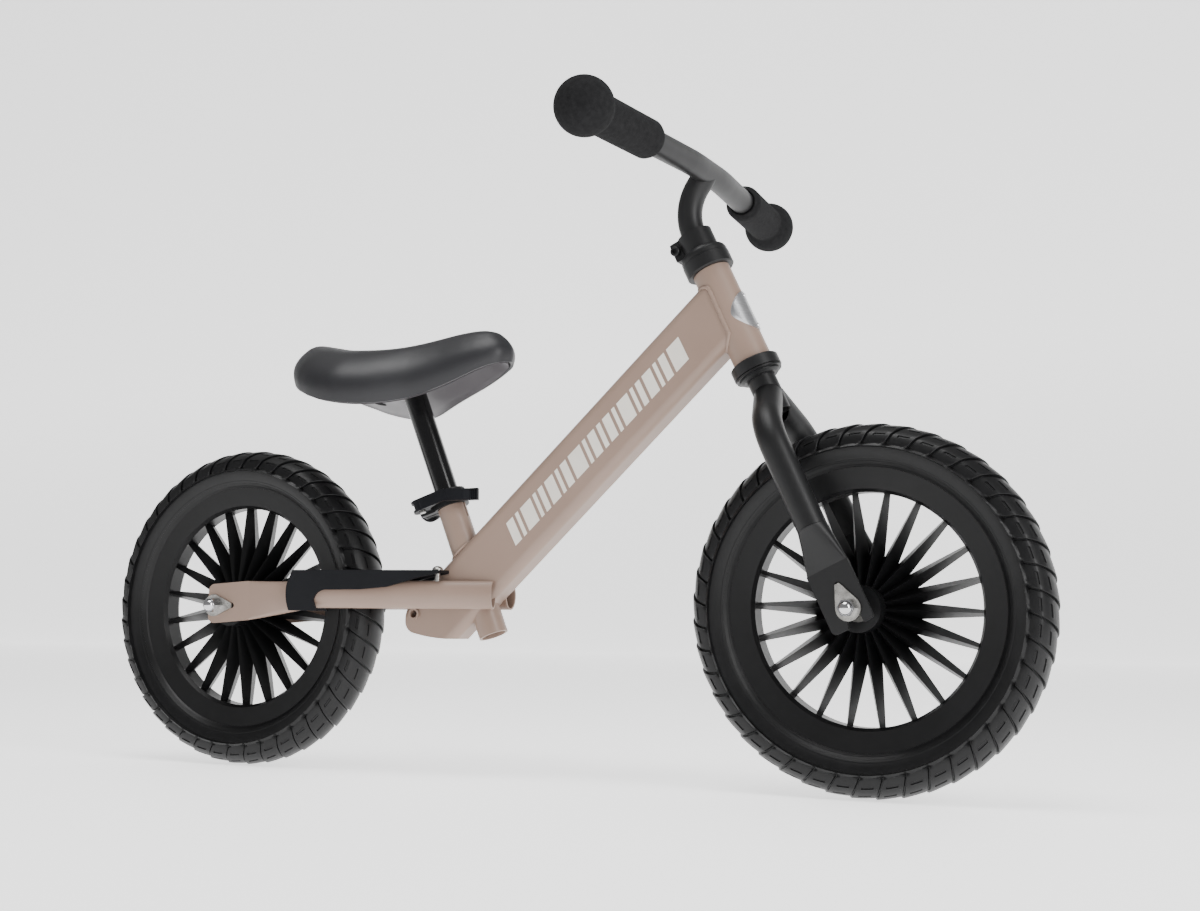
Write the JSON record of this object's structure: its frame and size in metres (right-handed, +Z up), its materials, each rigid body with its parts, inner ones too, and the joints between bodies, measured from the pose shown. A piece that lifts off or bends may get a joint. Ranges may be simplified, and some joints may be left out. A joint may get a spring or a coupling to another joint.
{
  "type": "balance bike",
  "caption": "Child's balance bike: box-section down tube, turning fork, spoked wheels, footrests on the stays, round-ended bar, height-adjustable saddle with lever clamp.",
  "frame": {"origin": "on the ground, midway between the axles, in the middle plane; it is also the bottom centre of the box", "axes": "+X forwards, +Y to the rider's left, +Z up"},
  "size_m": [0.945, 0.4702, 0.5668],
  "materials": {
    "frame_paint": "satin taupe paint",
    "black_paint": "gloss black paint",
    "grey_metal": "satin zinc",
    "black_plastic": "moulded black plastic",
    "zinc_steel": "zinc plated",
    "chrome": "bright plated",
    "badge_metal": "plain satin plate",
    "foam_tyre": "matte moulded foam",
    "grip_foam": "matte foam",
    "saddle_pan": "satin grey plastic",
    "saddle_skin": "matte vinyl"
  },
  "bodies": {
    "frame": {"head_tube": "frame_paint", "down_tube": "frame_paint", "seat_tube": "frame_paint", "pedal_kit_boss": "frame_paint", "left_stay": "frame_paint", "right_stay": "frame_paint", "left_footrest": "black_plastic", "right_footrest": "black_plastic", "footrest_screws": "zinc_steel", "upper_headset_cup": "black_paint", "lower_headset_cup": "black_paint", "headset_bearings": "zinc_steel", "head_badge": "badge_metal", "badge_rivets": "chrome", "seat_clamp_collar": "black_paint", "clamp_skewer": "zinc_steel", "clamp_adjusting_nut": "black_plastic", "clamp_pivot_pin": "zinc_steel", "rear_axle": "zinc_steel", "rear_acorn_nuts": "chrome", "rear_retention_washers": "zinc_steel", "rear_axle_spacers": "zinc_steel", "rear_hub_spacer": "zinc_steel", "rear_bearing_inner_rings": "zinc_steel"},
    "fork": {"steerer_tube": "black_paint", "left_fork_blade": "black_paint", "right_fork_blade": "black_paint", "crown_race": "grey_metal", "headset_cap": "black_paint", "stem_clamp": "black_paint", "stem_clamp_bolt": "zinc_steel", "front_axle": "zinc_steel", "front_acorn_nuts": "chrome", "front_retention_washers": "zinc_steel", "front_axle_spacers": "zinc_steel", "front_hub_spacer": "zinc_steel", "front_bearing_inner_rings": "zinc_steel"},
    "handlebar_set": {"stem": "black_paint", "handlebar": "black_paint", "left_grip": "grip_foam", "right_grip": "grip_foam"},
    "front_wheel": {"front_tyre": "foam_tyre", "front_wheel_casting": "black_plastic", "front_bearing_outer_rings": "zinc_steel"},
    "rear_wheel": {"rear_tyre": "foam_tyre", "rear_wheel_casting": "black_plastic", "rear_bearing_outer_rings": "zinc_steel"},
    "saddle_set": {"seat_post": "black_paint", "saddle_base": "saddle_pan", "saddle_cover": "saddle_skin"},
    "lever": {"clamp_lever": "black_plastic"}
  },
  "joints": [
    {"name": "steering", "type": "hinge", "parent": "frame", "child": "fork", "pos_m": [0.19265, 0, 0.41675], "axis": [-0.4305, 0, 0.9026], "continuous": true},
    {"name": "handlebar_height", "type": "slide", "parent": "fork", "child": "handlebar_set", "axis": [-0.4305, 0, 0.9026], "range_m": [0, 0.05]},
    {"name": "front_wheel_spin", "type": "hinge", "parent": "fork", "child": "front_wheel", "pos_m": [0.3175, 0, 0.155], "axis": [0, 1, 0], "continuous": true},
    {"name": "rear_wheel_spin", "type": "hinge", "parent": "frame", "child": "rear_wheel", "pos_m": [-0.3175, 0, 0.155], "axis": [0, 1, 0], "continuous": true},
    {"name": "saddle_height", "type": "slide", "parent": "frame", "child": "saddle_set", "axis": [-0.3722, 0, 0.9282], "range_m": [-0.055, 0.035]},
    {"name": "clamp_lever_swing", "type": "hinge", "parent": "frame", "child": "lever", "pos_m": [-0.10505, -0.02395, 0.2485], "axis": [0.3722, 0, -0.9282], "range_deg": [0, 110]}
  ]
}
